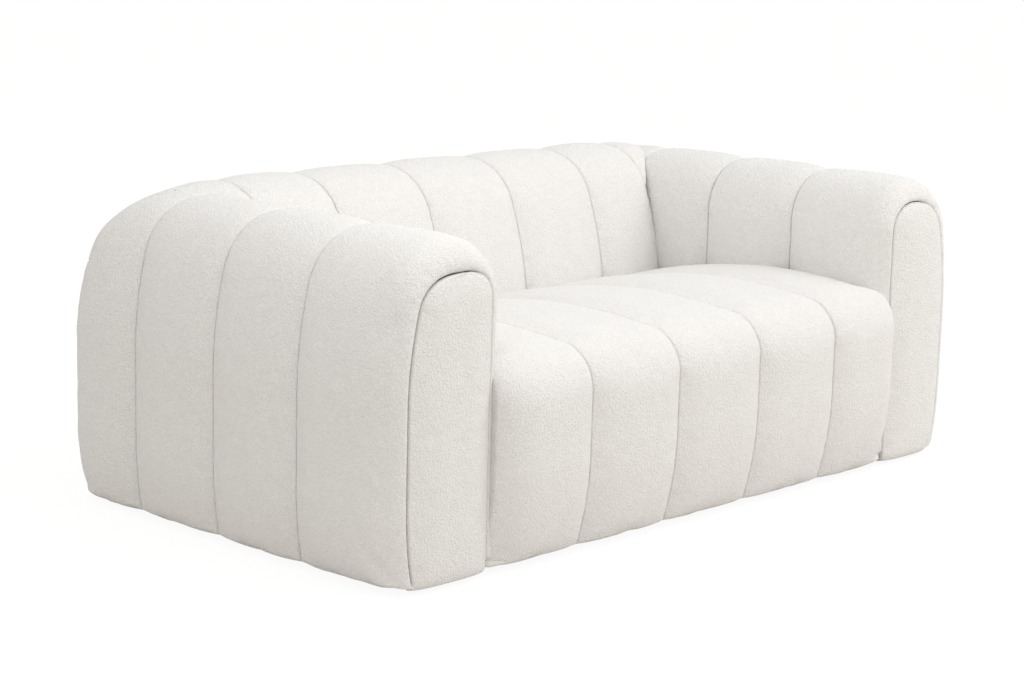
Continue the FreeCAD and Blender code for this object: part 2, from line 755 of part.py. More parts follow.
def back_foam():
    top = face_high[1] - gap
    rear = arm_rear
    points = [(foam_low, inner_height), (foam_high, top), (rear, top), (rear, frame_floor)]
    points += [(rear - wrap, frame_floor), (rear - wrap, top - wrap)]
    points += [(foam_high + wrap, top - wrap), (foam_low + wrap, inner_height)]
    length = f"{2 * back_half}"
    finish_body(outline_body("back_foam", points, "YZ_Plane", -back_half, length), "back_foam")


def seat_foam():
    outline = seat_outline(seat_end)
    points = seat_core(outline)[:2]
    rear_top, front_top = [(y, z - gap) for y, z in points]
    front_top = (front_top[0] + gap, front_top[1])
    floor = platform + 2 * web + 3 * gap
    chain = [(front_top[0], floor), front_top, rear_top, (rear_top[0], floor)]
    finish_body(outline_body("seat_foam", chain, "YZ_Plane", -back_half, f"{2 * back_half}"), "seat_foam")


def webbing():
    wide = size("web_width")
    straps = []
    bound = (("Length", "Sizes.web_width"), ("Height", "Sizes.web_thickness"))
    for number in range(7):
        x = (number - 3) * 2 * back_half / 7
        low = (x - wide / 2, rail_front, platform + gap)
        straps.append(box(f"strap_{number}", low, (x + wide / 2, rail_rear, platform + gap + web), bound))
    bound = (("Width", "Sizes.web_width"), ("Height", "Sizes.web_thickness"))
    level = platform + 2 * gap + web
    for number in range(3):
        y = inside[0] + (number + 0.5) * (inside[1] - inside[0]) / 3
        low = (-rail_outer, y - wide / 2, level)
        straps.append(box(f"cross_strap_{number}", low, (rail_outer, y + wide / 2, level + web), bound))
    group("seat_webbing", straps)
    straps = []
    lean = math.degrees(math.atan2(former_high - former_low, former_top - inner_height))
    for number in range(3):
        share = (number + 0.5) / 3
        y = former_low + share * (former_high - former_low)
        z = inner_height + share * (former_top - inner_height)
        strap = box(f"back_strap_{number}", (0, 0, 0), (2 * back_half, web, wide), (("Width", "Sizes.web_thickness"),))
        turn = Rotation(Vector(1, 0, 0), -lean)
        centre = turn.multVec(Vector(back_half, web + gap, wide / 2))
        strap.Placement = Placement(Vector(0, y, z) - centre, turn)
        straps.append(strap)
    group("back_webbing", straps)


back_foam()
seat_foam()
webbing()


# Dust cover, feet, screws, bolts and nuts


dust = size("dust_thickness")
dust_floor = frame_floor - gap - dust
foot_top = dust_floor - gap
low, high = (-foam_outer, arm_span[0]), (foam_outer, arm_rear)
dust_body = new_body("dust_cover")
cloth = new_sketch(dust_body, "Sheet", "XY_Plane", along("XY_Plane", dust_floor))
draw_chain(cloth, corners(low, (high[0], low[1]), high, (low[0], high[1])))
pad_sketch(dust_body, cloth, "Sizes.dust_thickness")
drill(dust_body, "ScrewHoles", "XY_Plane", dust_floor, feet_places, screw_hole)
finish_body(dust_body, "dust_cover")


def foot(number, x, y):
    """A square tapered foot with a hole for its screw, widened at the bottom for the screw's head."""
    body = new_body(f"foot_{number}")
    half = size("foot_half")
    square = new_sketch(body, "Top", "XY_Plane", along("XY_Plane", foot_top))
    draw_chain(square, corners((x - half, y - half), (x + half, y - half), (x + half, y + half), (x - half, y + half)))
    block = pad_sketch(body, square, f"{foot_top}", reverse=True)
    block.TaperAngle = -math.degrees(math.atan(size("foot_taper") / foot_top))
    doc.recompute()
    drill(body, "ScrewHole", "XY_Plane", 0, [(x, y)], screw_hole)
    recess = new_sketch(body, "Recess", "XY_Plane", along("XY_Plane", 0))
    draw_holes(recess, [(x, y)], size("screw_head_radius") + joint)
    before = body.Shape.Volume
    pocket = body.newObject("PartDesign::Pocket", "HeadRecess")
    pocket.Profile = recess
    pocket.Reversed = True
    pocket.setExpression("Length", "2 * Sizes.screw_head_height")
    doc.recompute()
    if body.Shape.Volume > before - 1:
        raise RuntimeError("the foot's recess cuts nothing")
    return body


def prism(sides, radius, height, base, axis):
    """A many sided bar from a base point along an axis; radius is over its corners."""
    item = doc.addObject("Part::Prism", "Bar")
    item.Polygon = sides
    item.setExpression("Circumradius", radius)
    item.setExpression("Height", height)
    item.Placement = Placement(Vector(*base), Rotation(Vector(0, 0, 1), axis))
    return item


def boolean(kind, base, tool):
    item = doc.addObject("Part::" + kind, "Fastener")
    item.Base = base
    item.Tool = tool
    return item


UP = Vector(0, 0, 1)
feet = []
screws = []
for number, (x, y) in enumerate(feet_places, start=1):
    feet.append(foot(number, x, y))
    head = 2 * size("screw_head_height") - joint
    seat = (x, y, head - size("screw_head_height"))
    reach = frame_floor + size("screw_depth") - seat[2]
    shank = prism(HOLE_SIDES, "Sizes.screw_radius", f"{reach}", seat, UP)
    cap = prism(6, "Sizes.screw_head_radius", "Sizes.screw_head_height", seat, UP)
    screws.append(boolean("Fuse", shank, cap))
group("feet", feet)
group("foot_screws", screws)

bolts = []
nuts = []
for side in (LEFT, RIGHT):
    outward = Vector(side, 0, 0)
    face = rail_outer - ply - joint
    nut_face = frame_inner + ply + joint
    end = nut_face + size("nut_height") + size("bolt_end")
    for y, z in bolt_places:
        head_base = (side * (face - size("bolt_head_height")), y, z)
        length = end - face + size("bolt_head_height")
        shank = prism(HOLE_SIDES, "Sizes.bolt_radius", f"{length}", head_base, outward)
        head = prism(6, "Sizes.bolt_head_radius", "Sizes.bolt_head_height", head_base, outward)
        bolts.append(boolean("Fuse", shank, head))
        nut_base = (side * nut_face, y, z)
        body = prism(6, "Sizes.bolt_head_radius", "Sizes.nut_height", nut_base, outward)
        bore = prism(HOLE_SIDES, "Sizes.bolt_radius + Sizes.wood_gap", "Sizes.nut_height", nut_base, outward)
        nuts.append(boolean("Cut", body, bore))
group("arm_bolts", bolts)
group("arm_nuts", nuts)


# Check and write


def check_and_write():
    for item in doc.Objects:
        if "Invalid" in item.State or "Error" in item.State:
            raise RuntimeError("failed: " + item.Name + " " + str(item.State))
    os.makedirs("parts", exist_ok=True)
    for item in sub_parts:
        shape = item.Shape
        if shape.isNull() or not shape.isValid():
            raise RuntimeError("bad shape: " + item.Label)
        shape.exportStep(f"parts/{item.Label}.step")


doc.recompute()
check_and_write()
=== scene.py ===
import json
import math

import bmesh
import bpy
import numpy as np
from bpy.props import FloatProperty, FloatVectorProperty, IntProperty, PointerProperty
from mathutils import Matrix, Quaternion, Vector


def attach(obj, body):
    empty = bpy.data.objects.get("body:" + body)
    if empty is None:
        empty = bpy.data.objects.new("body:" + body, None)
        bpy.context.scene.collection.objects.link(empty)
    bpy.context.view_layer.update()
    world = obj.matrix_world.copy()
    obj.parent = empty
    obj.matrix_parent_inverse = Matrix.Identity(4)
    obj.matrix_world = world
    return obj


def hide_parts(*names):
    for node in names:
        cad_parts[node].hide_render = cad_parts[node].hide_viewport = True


bl_info = {
    "name": "Channel Sofa",
    "version": (1, 0, 0),
    "blender": (4, 5, 0),
    "location": "3D View > Sidebar > Sofa",
    "description": "Builds the padded channels, finishes and studio of a two seat tuxedo sofa",
    "category": "Add Mesh",
}

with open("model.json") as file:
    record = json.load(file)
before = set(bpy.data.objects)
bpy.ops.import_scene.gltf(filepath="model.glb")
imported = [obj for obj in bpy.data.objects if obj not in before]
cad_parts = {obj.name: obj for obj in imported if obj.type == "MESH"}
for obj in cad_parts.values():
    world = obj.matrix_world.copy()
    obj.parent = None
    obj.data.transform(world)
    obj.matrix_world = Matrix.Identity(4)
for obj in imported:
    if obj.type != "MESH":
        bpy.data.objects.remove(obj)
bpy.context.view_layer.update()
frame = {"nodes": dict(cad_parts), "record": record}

# Lengths are in metres and angles in degrees. Outline heights count from the foot line. "Seam level" is
# the surface at the bottom of the seams, before a channel rises over it.

LEFT, RIGHT = -1, 1
SIDES = (("left", LEFT), ("right", RIGHT))
FOOT = 0.020  # foot line over the floor
SIDE_SEAM = 0.914  # outer faces at seam level, from the middle
REAR_SEAM = 0.5315
NOSE_SEAM = -0.5315
ARM_FRONT = -0.4935
INNER_CLEAR = 0.6137  # end seams of seat and back, from the middle
CHANNEL = 0.251  # width of an arm channel
SEAT_CHANNEL = 0.2685
SEAM_GAP = 0.0003
SEAMS = (-INNER_CLEAR, *(place * SEAT_CHANNEL for place in (-1.5, -0.5, 0.5, 1.5)), INNER_CLEAR)

TOP_LINE_ARM = 0.169  # top line, in from the outer face
TOP_LINE_BACK = 0.175
ARM_TOP = 0.645
BACK_TOP = 0.657
FACE_FOOT = 0.150  # height and inset of the arc at a face's foot
FACE_INSET = 0.014
FACE_STRAIGHT = 0.180
FACE_END = 0.330  # height at which an outer face starts to lean in
INNER_END = 0.330  # height at which an inner face ends, behind the seat
LEAN = 15
ARM_ROUND = 0.119
BACK_FLAT = 0.008
BACK_ROUND = 0.147
BACK_SWELL = 0.811
BACK_BREAK, BACK_SLOPE = 22, 5  # lean of the back's inner face where it swells and where it ends
SEAT_FOOT = 0.200
SEAT_INSET = 0.030
SEAT_TOP = 0.420
SEAT_END = 0.158
SEAT_CURVE = 1.520
NOSE_ROUND = 0.092
NOSE_DEPTH = 0.288  # the seat's highest line, behind its front

CORNER = 0.076
CORNER_GAIN = 0.055
CORNER_SHARE = 1 - math.sqrt(0.5)
APEX = (SIDE_SEAM - TOP_LINE_ARM, REAR_SEAM - TOP_LINE_BACK)
MITRE_LAP = 0.018
LAP_REACH = 0.050
SHORTEST_ROW = 0.002

ARC_DEGREES = 7  # longest step along an arc
EDGE_STEPS = (0, 0.0012, 0.003, 0.006, 0.011, 0.018, 0.027, 0.038)
ACROSS_SHARE = 1.2  # spacing across a channel, to that along it
FULL_WIDTH = 0.2  # width from which a channel has its whole dome
UNEVEN_SIZE, UNEVEN_REACH = 0.33, 0.06
GATHER_SIZE, GATHER_REACH, GATHER_STRETCH = 0.035, 0.012, 0.3
GROOVE_REACH = 0.005

ROLL_STEPS = 11
TAPER_REACH = 0.16
ROLL_BACK = 0.03
ARCH_FOLD_PLACE, ARCH_FOLD_REACH, ARCH_FOLD_SIZE = 0.022, 0.020, 0.026
RIM_FOOT_REACH = 0.060
RIM_SEAT_TOP, RIM_SEAT_REACH = 0.400, 0.06  # where an inner rim moves to the seat's end seam
RIM_SEAT_GAP = 0.008
PANEL_FOOT = -0.012
PANEL_FOOT_ROWS = (PANEL_FOOT, -0.008, -0.003, 0.003)
PANEL_WIDTH = 0.22
PANEL_REACH = 0.070
PANEL_DEPTH = 0.045
ARCH_RISE = 0.090
ARCH_STEPS = 13
SEAT_END_REACH = 0.10

CLOTH_QUALITY = 4
CLOTH_MASS = 0.4

# Slot: material, colour, darker colour, noise scale, stretch, roughness and relief
INNER_FINISHES = {
    "foam": ("foam", (0.86, 0.82, 0.62), (0.80, 0.75, 0.55), 400, (1, 1, 1), 0.95, 0.3),
    "webbing": ("webbing", (0.10, 0.09, 0.08), (0.05, 0.045, 0.04), 260, (1, 1, 4), 0.9, 0.3),
    "dust_cloth": ("dust_cloth", (0.020, 0.020, 0.022), (0.012, 0.012, 0.012), 700, (1, 1, 1), 0.95, 0.2),
    "feet": ("foot_plastic", (0.018, 0.018, 0.018), (0.012, 0.012, 0.012), 500, (1, 1, 1), 0.55, 0.05),
    "zinc_steel": ("zinc_steel", (0.50, 0.51, 0.52), (0.40, 0.41, 0.42), 300, (1, 1, 6), 0.35, 0.05),
    "hardboard": ("hardboard", (0.16, 0.09, 0.05), (0.10, 0.055, 0.03), 200, (1, 1, 1), 0.8, 0.1),
    "plywood": ("plywood", (0.60, 0.43, 0.26), (0.45, 0.30, 0.17), 24, (1, 8, 8), 0.7, 0.1),
}

FLOOR_HALF = 70
FLOOR_COLOUR = (0.74, 0.705, 0.665, 1)
FLOOR_GLOW, FLOOR_GLOW_SHARE = 1.06, 0.88
WORLD_COLOUR = (1.0, 0.99, 0.975, 1)
WORLD_LIGHT, WORLD_WHITE = 0.82, 1.0
LAMPS = (("key", (2.6, -2.6, 3.4), 3.0, 75), ("fill", (-0.9, -0.7, 1.9), 1.4, 6))  # place, size, watts
LAMP_AIM = (0, 0, 0.3)
CAMERA_ANGLES = (-46.505, 11.16, 1.42)  # azimuth, elevation, roll
CAMERA_TARGET = (-0.0362, 0.0449, 0.3047)
CAMERA_DISTANCE = 5.2403
CAMERA_LENS, CAMERA_SENSOR = 81.71, 36


# Outlines


def trace(start, heading, moves, step):
    """Points and outward normals along lines and arcs that follow one another.

    A move is (kind, length or radius, turn in degrees). Along a line the point goes at its heading; along
    an arc the heading falls by the turn, round a hub one radius to the right of the path. The outward
    normal lies to the left of the heading.
    """
    v, w = start
    angle = math.radians(heading)
    points = [np.array([[v, w]])]
    normals = [np.array([[-math.sin(angle), math.cos(angle)]])]
    for kind, amount, turn in moves:
        if kind == "line":
            count = max(1, round(amount / step))
            share = np.linspace(0, 1, count + 1)[1:]
            along = share * amount
            run = np.column_stack([v + along * math.cos(angle), w + along * math.sin(angle)])
            angles = np.full(count, angle)
        else:
            sweep = math.radians(turn)
            count = max(3, round(amount * sweep / step), round(turn / ARC_DEGREES))
            angles = angle - np.linspace(0, sweep, count + 1)[1:]
            hub = (v + amount * math.sin(angle), w - amount * math.cos(angle))
            run = np.column_stack([hub[0] - amount * np.sin(angles), hub[1] + amount * np.cos(angles)])
            angle -= sweep
        v, w = run[-1]
        points.append(run)
        normals.append(np.column_stack([-np.sin(angles), np.cos(angles)]))
    return np.vstack(points), np.vstack(normals)


def tangent_pair(run, rise, lean):
    """Radii p, q of two arcs that carry an upright line, through a lean t, to level.

    p (1 - cos t) + q cos t = run and p sin t + q (1 - sin t) = rise.
    """
    turn = math.radians(lean)
    a, b = 1 - math.cos(turn), math.cos(turn)
    c, d = math.sin(turn), 1 - math.sin(turn)
    det = a * d - b * c
    return (run * d - b * rise) / det, (a * rise - c * run) / det


def foot_moves(height, inset, hem=0.012, under=0.035):
    """The hem under a face and the arc that brings it upright: (start, moves up to the given height).

    The arc's radius is (height^2 + inset^2) / (2 inset).
    """
    radius = (height * height + inset * inset) / (2 * inset)
    turn = math.degrees(math.asin(height / radius))
    lead = 90 - turn
    sweep = math.radians(lead)
    rise = hem * (1 - math.cos(sweep))
    start = (inset + hem * math.sin(sweep) + under, -rise * 0.5)
    return start, [("line", under, 0), ("arc", hem, lead), ("arc", radius, turn)]


def arm_moves(step, inner_end=INNER_END):
    """An arm's outline: foot, outer face, two tangent arcs to the top line, and a quarter round inside."""
    start, moves = foot_moves(FACE_FOOT, FACE_INSET)
    sweep, shoulder = tangent_pair(TOP_LINE_ARM, ARM_TOP - FACE_END, LEAN)
    moves += [("line", FACE_STRAIGHT, 0), ("arc", sweep, LEAN), ("arc", shoulder, 90 - LEAN)]
    moves += [("arc", ARM_ROUND, 90), ("line", ARM_TOP - ARM_ROUND - inner_end, 0)]
    return trace(start, 180, moves, step)


def back_moves(step):
    """The back's outline: as an arm's outside, with a round, a swell and a leaning line inside.

    The last line is (BACK_TOP - drop - INNER_END) / cos(slope) long, drop being the height of both arcs.
    """
    start, moves = foot_moves(FACE_FOOT, FACE_INSET)
    sweep, shoulder = tangent_pair(TOP_LINE_BACK, BACK_TOP - FACE_END, LEAN)
    low, high = math.radians(BACK_SLOPE), math.radians(BACK_BREAK)
    drop = BACK_ROUND * (1 - math.sin(high)) + BACK_SWELL * (math.sin(high) - math.sin(low))
    leg = (BACK_TOP - drop - INNER_END) / math.cos(low)
    moves += [("line", FACE_STRAIGHT, 0), ("arc", sweep, LEAN), ("arc", shoulder, 90 - LEAN)]
    moves += [("line", BACK_FLAT, 0), ("arc", BACK_ROUND, 90 - BACK_BREAK)]
    moves += [("arc", BACK_SWELL, BACK_BREAK - BACK_SLOPE), ("line", leg, 0)]
    return trace(start, 180, moves, step)


def seat_moves(step, end):
    """The seat's outline: foot, front, nose, and a long arc that is level NOSE_DEPTH behind the front.

    The nose ends where the long arc rises by asin((depth - nose) / (curve - nose)).
    """
    start, moves = foot_moves(SEAT_FOOT, SEAT_INSET)
    rise_slope = math.asin((NOSE_DEPTH - NOSE_ROUND) / (SEAT_CURVE - NOSE_ROUND))
    fall_slope = math.asin((end - NOSE_SEAM - NOSE_DEPTH) / SEAT_CURVE)
    hub = SEAT_TOP - SEAT_CURVE + (SEAT_CURVE - NOSE_ROUND) * math.cos(rise_slope)
    moves += [("line", hub - SEAT_FOOT, 0), ("arc", NOSE_ROUND, 90 - math.degrees(rise_slope))]
    moves += [("arc", SEAT_CURVE, math.degrees(rise_slope + fall_slope))]
    return trace(start, 180, moves, step)


# Padded surfaces


def across_steps(width, step):
    """Shares from 0 to 1 over a channel's width, close together beside both seams."""
    edge = np.array(EDGE_STEPS) / width
    count = max(3, round((width - 2 * EDGE_STEPS[-1]) / (step * ACROSS_SHARE)))
    inner = np.linspace(edge[-1], 1 - edge[-1], count + 1)
    return np.concatenate([edge[:-1], inner, 1 - edge[-2::-1]])


def rounding(distance, reach):
    """Quarter ellipse sqrt(1 - (1 - distance / reach)^2): 0 at the seam, 1 from the reach inwards."""
    return np.sqrt(np.clip(1 - (1 - np.clip(distance / reach, 0, 1)) ** 2, 0, 1))


def eased(share):
    """Smooth step 3 s^2 - 2 s^3, for a share s from 0 to 1."""
    return share * share * (3 - 2 * share)


def waves(a, b, seed, size):
    """Soft unevenness from -1 to 1: the mean of five crossing sine waves of about this wavelength.

    Each is sin(2 pi (a cos t + b sin t) / length + phase), with t, phase and length drawn from the seed.
    """
    rng = np.random.default_rng(seed)
    total = np.zeros(np.broadcast(a, b).shape)
    for _ in range(5):
        angle = rng.uniform(0, 2 * math.pi)
        phase = rng.uniform(0, 2 * math.pi)
        stretch = rng.uniform(0.7, 1.4)
        across = a * math.cos(angle) + b * math.sin(angle)
        total += np.sin(across * 2 * math.pi / (size * stretch) + phase)
    return total / 5


def grid_normals(base, outward):
    """Unit normals of a surface grid: the cross product of its two directions, turned outward."""
    along = np.gradient(base, axis=0)
    across = np.gradient(base, axis=1)
    normal = np.cross(along, across)
    normal /= np.maximum(np.linalg.norm(normal, axis=2, keepdims=True), 1e-12)
    sign = np.sign((normal * outward).sum(axis=2, keepdims=True))
    return normal * np.where(sign == 0, 1, sign)


def build_mesh(name, points, quads, caps, held=None):
    """A mesh from an array of points, an array of four cornered faces and a few many cornered ones.

    The points named as held get a mark, for the simulation that settles the covers.
    """
    mesh = bpy.data.meshes.new(name)
    counts = np.concatenate([np.full(len(quads), 4), [len(cap) for cap in caps]]).astype(np.int32)
    loops = np.concatenate([quads.ravel(), *caps]).astype(np.int32)
    mesh.vertices.add(len(points))
    mesh.vertices.foreach_set("co", points.astype(np.float32).ravel())
    mesh.loops.add(len(loops))
    mesh.loops.foreach_set("vertex_index", loops)
    mesh.polygons.add(len(counts))
    starts = np.concatenate([[0], np.cumsum(counts)[:-1]]).astype(np.int32)
    mesh.polygons.foreach_set("loop_start", starts)
    mesh.update(calc_edges=True)
    mesh.validate()
    if held is not None:
        mark = mesh.attributes.new("held", "FLOAT", "POINT")
        mark.data.foreach_set("value", held.astype(np.float32).ravel())
    shape = bmesh.new()
    shape.from_mesh(mesh)
    bmesh.ops.remove_doubles(shape, verts=shape.verts, dist=1e-6)
    bmesh.ops.recalc_face_normals(shape, faces=shape.faces)
    shape.to_mesh(mesh)
    shape.free()
    mesh.shade_smooth()
    return mesh


def wrapped_piece(name, outer, inner_first, inner_last):
    """A closed pad: an outer grid whose two long sides turn in to two lines, with the inner face between."""
    loop = np.concatenate([inner_first[:, None], outer, inner_last[:, None]], axis=1)
    rows, columns = loop.shape[:2]
    index = np.arange(rows * columns).reshape(rows, columns)
    following = np.roll(index, -1, axis=1)
    quads = np.stack([index[:-1], following[:-1], following[1:], index[1:]], axis=2).reshape(-1, 4)
    held = np.zeros((rows, columns))
    held[:, :3] = held[:, -3:] = 1
    held[:2] = held[-2:] = 1
    mesh = build_mesh(name, loop.reshape(-1, 3), quads, [index[0], index[-1]], held)
    piece = bpy.data.objects.new(f"{name}_cover", mesh)
    bpy.context.scene.collection.objects.link(piece)
    return piece


def finish_piece(piece, nodes, material):
    """Gives a pad its cover, and lets it stand for its solids in the frame."""
    piece.data.materials.append(material)
    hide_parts(*nodes)
    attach(piece, "root")
    return piece


def puffed(base, outward, first, last, seed, sizes):
    """Raises a seam level grid to its full channel, and returns it with its normals.

    rise = crown q(first) q(last) + dome 4 first last / width^2, with q the quarter ellipse over the
    shoulder and first, last the distances to the two seams. Soft unevenness and small gathers that fade
    away from the seams are added, and the sink and groove of the seams taken off.
    """
    normal = grid_normals(base, outward)
    nearest = np.minimum(first, last)
    width = first + last
    along = np.arange(base.shape[0])[:, None] * sizes.step + np.zeros_like(first)
    rise = sizes.crown * rounding(first, sizes.shoulder) * rounding(last, sizes.shoulder)
    bulge = np.clip(4 * first * last / np.maximum(width, 1e-6) ** 2, 0, 1)
    rise += sizes.dome * bulge * np.clip(width / FULL_WIDTH, 0, 1)
    level = normal[:, :, 2]
    rise *= 1 - sizes.flat_top * np.clip(level, 0, 1) - sizes.flat_base * np.clip(-level, 0, 1)
    rise -= sizes.sink * (1 - np.clip(-level, 0, 1)) + sizes.sink_top * np.clip(level, 0, 1)
    uneven = waves(along, first, seed, UNEVEN_SIZE) * np.clip(nearest / UNEVEN_REACH, 0, 1)
    rise += sizes.unevenness * uneven
    folds = waves(along, first * GATHER_STRETCH, seed + 50, GATHER_SIZE)
    rise += sizes.gather * folds * np.exp(-nearest / GATHER_REACH) * (nearest > 0)
    rise -= sizes.groove * (1 - rounding(nearest, GROOVE_REACH))
    return base + normal * rise[:, :, None], normal


def corner_radius(v, top_line):
    """Plan radius of a rear corner at a distance v in from the outer face.

    (CORNER + CORNER_GAIN u) sqrt(1 - u^2), with u = v / top line: full at the face, none at the top line.
    """
    share = np.clip(v / top_line, 0, 1)
    return (CORNER + CORNER_GAIN * share) * np.sqrt(1 - share * share)


def corner_shift(beyond, radius):
    """How far a wall draws in past the start of a rounded corner: r - sqrt(r^2 - beyond^2)."""
    inside = np.clip(beyond, 0, radius * 0.999)
    return radius - np.sqrt(radius * radius - inside * inside)


def arm_base(side, path, y):
    """Seam level grid of an arm: the outline (v, w) carried along Y, rounded at the rear corner.

    X = side (SIDE_SEAM - v - corner_shift), Z = w + FOOT.
    """
    v = path[:, 0][:, None] + np.zeros_like(y)
    w = path[:, 1][:, None] + np.zeros_like(y)
    radius = corner_radius(v, TOP_LINE_ARM)
    start = REAR_SEAM - v * TOP_LINE_BACK / TOP_LINE_ARM - radius
    return np.stack([side * (SIDE_SEAM - v - corner_shift(y - start, radius)), y, w + FOOT], axis=2)


def back_base(path, x):
    """Seam level grid of the back: the outline (v, w) carried along X, rounded at the rear corners.

    Y = REAR_SEAM - v - corner_shift, Z = w + FOOT, with w eased down to the arm's height at the ends.
    """
    v = path[:, 0][:, None] + np.zeros_like(x)
    w = path[:, 1][:, None] + np.zeros_like(x)
    radius = corner_radius(v, TOP_LINE_BACK)
    start = SIDE_SEAM - v * TOP_LINE_ARM / TOP_LINE_BACK - radius
    near_end = np.clip((np.abs(x) - INNER_CLEAR) / (APEX[0] - INNER_CLEAR), 0, 1)
    w = w * (1 - (1 - ARM_TOP / BACK_TOP) * eased(near_end))
    return np.stack([x, REAR_SEAM - v - corner_shift(np.abs(x) - start, radius), w + FOOT], axis=2)


def arm_mitre(v):
    """Depth at which an arm's outline ends at the mitre, by its distance in from the outer face."""
    outer = REAR_SEAM - v * TOP_LINE_BACK / TOP_LINE_ARM - corner_radius(v, TOP_LINE_ARM) * CORNER_SHARE
    line = np.where(v < TOP_LINE_ARM, outer, APEX[1] + TOP_LINE_ARM - v)
    return line + MITRE_LAP * np.clip((v - TOP_LINE_ARM) / LAP_REACH + 1, 0, 1)


def back_mitre(v):
    """Distance from the middle at which the back's outline ends at the mitre, as arm_mitre."""
    outer = SIDE_SEAM - v * TOP_LINE_ARM / TOP_LINE_BACK - corner_radius(v, TOP_LINE_BACK) * CORNER_SHARE
    line = np.where(v < TOP_LINE_BACK, outer, APEX[0] + TOP_LINE_BACK - v)
    return line + MITRE_LAP * np.clip((v - TOP_LINE_BACK) / LAP_REACH + 1, 0, 1)


def level_normals(normals):
    """Outline normals with those of the underside and the foot turned level, for an arm front's rim."""
    return np.where(normals[:, 1:] < -0.001, [[-1.0, 0.0]], normals)


def rim_inset(side, path, normals, sizes):
    """How far an arm front's rim lies in from the outline: one value outside, one on top, one inside.

    Beside the seat the inner rim moves to the seat's end seam.
    """
    level = np.clip(normals[:, 1], 0, 1) ** 2
    corner = sizes.left_foot_round if side == LEFT else sizes.right_foot_round
    outer = sizes.rim_outer + corner * (1 - rounding(path[:, 1] + 0.006, RIM_FOOT_REACH))
    top = sizes.rim_top + (sizes.left_rim_drop if side == LEFT else 0)
    beside_seat = np.clip((RIM_SEAT_TOP - path[:, 1]) / RIM_SEAT_REACH, 0, 1)
    at_seat = sizes.front_widening - RIM_SEAT_GAP
    inner = sizes.rim_inner + (at_seat - sizes.rim_inner) * beside_seat
    beside = np.where(normals[:, 0] < 0, outer, inner)
    return beside + (top - beside) * level


def outward_rows(base, normals, facing):
    """The outline's normals over a grid that runs along X: (0, facing n_v, n_w) in each row."""
    outward = np.zeros_like(base)
    outward[:, :, 1] = facing * normals[:, :1]
    outward[:, :, 2] = normals[:, 1:]
    return outward


def sewn_pad(name, outer, base, normal, depth, material):
    """Closes a channel with its two seam sides turned in by the pad's depth, and finishes it."""
    inner = [base[:, i] - normal[:, i] * depth for i in (0, -1)]
    return finish_piece(wrapped_piece(name, outer, *inner), [name], material)


def arm_channel(name, side, number, material, sizes):
    """One arm channel: its outline carried from its front seam to its rear seam or to the mitre."""
    path, normals = arm_moves(sizes.step, 0.0 if number == 4 else INNER_END)
    last = REAR_SEAM - (number - 1) * CHANNEL - SEAM_GAP
    first = REAR_SEAM - number * CHANNEL + SEAM_GAP
    end = np.minimum(last, arm_mitre(path[:, 0]) - SEAM_GAP)
    keep = end - first > SHORTEST_ROW
    path, normals, end = path[keep], normals[keep], end[keep]
    outward = np.zeros((len(path), 1, 3))
    outward[:, 0, 0] = side * -normals[:, 0]
    outward[:, 0, 2] = normals[:, 1]
    seed = 10 * number + side
    if number == 4:
        return rolled_channel(name, side, path, normals, outward, last, seed, material, sizes)
    slant = np.where(end < last - 1e-5, math.sqrt(0.5), 1.0)[:, None]
    share = across_steps(last - first, sizes.step)[None, :]
    y = first + share * (end - first)[:, None]
    base = arm_base(side, path, y)
    outer, normal = puffed(base, outward, y - first, (end[:, None] - y) * slant, seed, sizes)
    return sewn_pad(name, outer, base, normal, sizes.pad, material)


def rolled_channel(name, side, path, normals, outward, last, seed, material, sizes):
    """The front arm channel: a quarter round roll draws its outline in to the arch's rim.

    At the roll's turn t, from 90 to 0 degrees, y = ARM_FRONT + roll (1 - sin t) and the outline lies in
    by rim_inset (1 - cos t) plus the front taper's part.
    """
    turn = np.linspace(math.pi / 2, 0, ROLL_STEPS)
    body_length = last - ARM_FRONT - sizes.roll
    body = across_steps(body_length, sizes.step)
    body = body[body > 0.08]
    flat = np.zeros(len(body))
    roll_y = ARM_FRONT + sizes.roll * (1 - np.sin(turn))
    y = np.concatenate([roll_y, ARM_FRONT + sizes.roll + body * body_length])
    drawn = np.concatenate([1 - np.cos(turn), flat])
    lip = np.concatenate([turn / (math.pi / 2), flat])
    taper = sizes.front_taper * (1 - rounding(y - ARM_FRONT, TAPER_REACH))
    rim_normals = level_normals(normals)
    depth = rim_inset(side, path, rim_normals, sizes)[:, None] * drawn[None, :]
    depth = depth + taper[None, :] * (1 - drawn[None, :])
    inward = np.stack([side * rim_normals[:, 0], 0 * rim_normals[:, 0], -rim_normals[:, 1]], axis=1)
    base = arm_base(side, path, y[None, :] + np.zeros_like(depth)) + inward[:, None] * depth[:, :, None]
    outward = outward + np.zeros((1, len(y), 1))
    outward[:, :, 1] = -2 * lip
    draw = np.diff(sizes.rim_top * drawn, prepend=sizes.rim_top)
    arc = np.cumsum(np.hypot(np.diff(y, prepend=y[0]), draw))
    near = arc[None, :] + np.zeros_like(depth)
    far = (last - y)[None, :] + np.zeros_like(depth)
    outer, normal = puffed(base, outward, near, far, seed, sizes)
    rows = np.cumsum(np.hypot(*np.diff(path, axis=0, prepend=path[:1]).T))[:, None]
    beside_arch = np.exp(-((near - ARCH_FOLD_PLACE) / ARCH_FOLD_REACH) ** 2)
    bend = np.clip(normals[:, 1] * 1.6, 0, 1)[:, None] * beside_arch
    folds = waves(rows, near * 0.5, 60 + side, ARCH_FOLD_SIZE)
    outer += normal * (sizes.arch_gather * bend * folds)[:, :, None]
    inner = [base[:, 0] + np.array([0, ROLL_BACK, 0]), base[:, -1] - normal[:, -1] * sizes.pad]
    return finish_piece(wrapped_piece(name, outer, *inner), [name], material)


